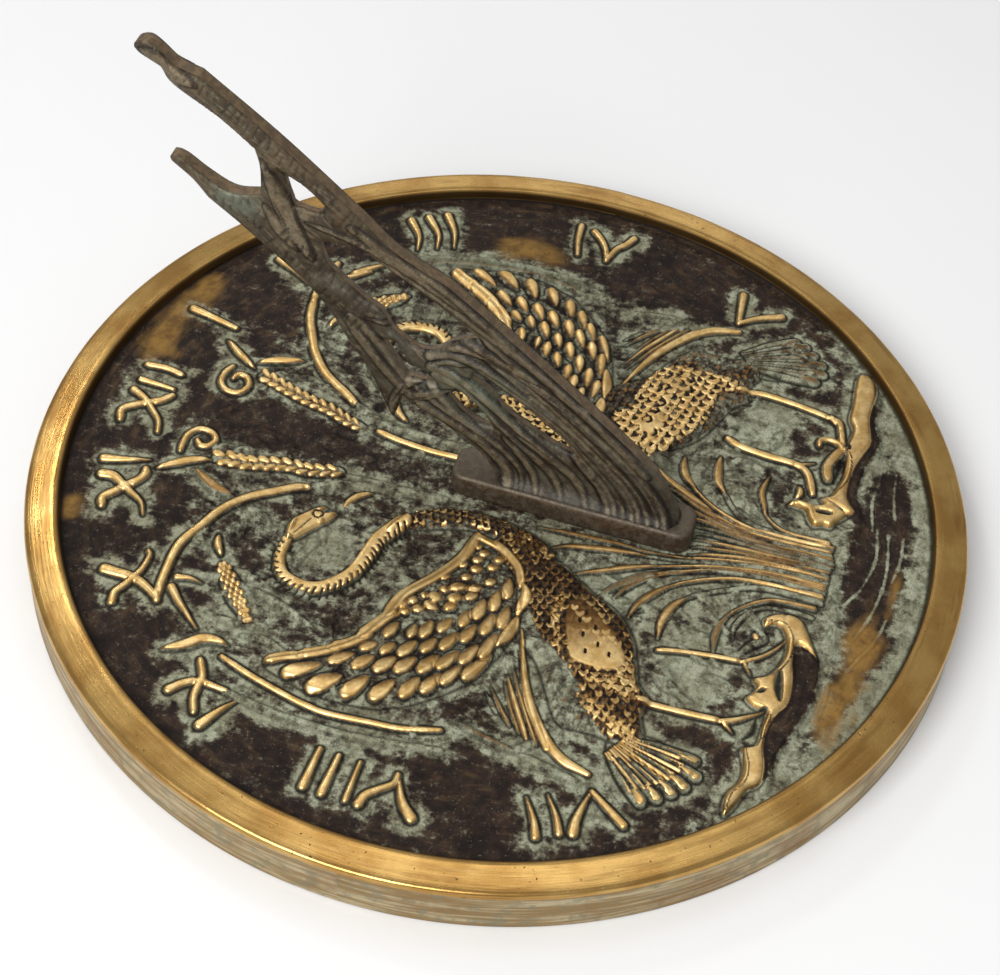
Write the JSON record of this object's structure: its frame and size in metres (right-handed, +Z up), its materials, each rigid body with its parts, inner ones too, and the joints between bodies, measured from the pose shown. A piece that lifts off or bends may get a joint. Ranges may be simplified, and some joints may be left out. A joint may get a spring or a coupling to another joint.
{
  "type": "garden sundial",
  "caption": "Round cast brass garden sundial with Roman hour numerals, cranes and reeds in relief, and a pierced cattail gnomon screwed on from below.",
  "frame": {"origin": "centre of the dial plate's underside, where it rests", "axes": "+Z up out of the dial's face, +Y along the noon line from the gnomon's toe towards XII, +X towards the afternoon hours"},
  "size_m": [0.254, 0.254, 0.137],
  "materials": {
    "dial_brass": "sand-cast brass, high points polished, hollows dark with green patina",
    "gnomon_bronze": "unpolished, dark brown patina",
    "fastener_brass": "turned, slightly tarnished"
  },
  "bodies": {
    "root": {"dial_plate": "dial_brass", "gnomon": "gnomon_bronze", "toe_screw": "fastener_brass", "heel_screw": "fastener_brass", "toe_washer": "fastener_brass", "heel_washer": "fastener_brass"}
  },
  "joints": []
}
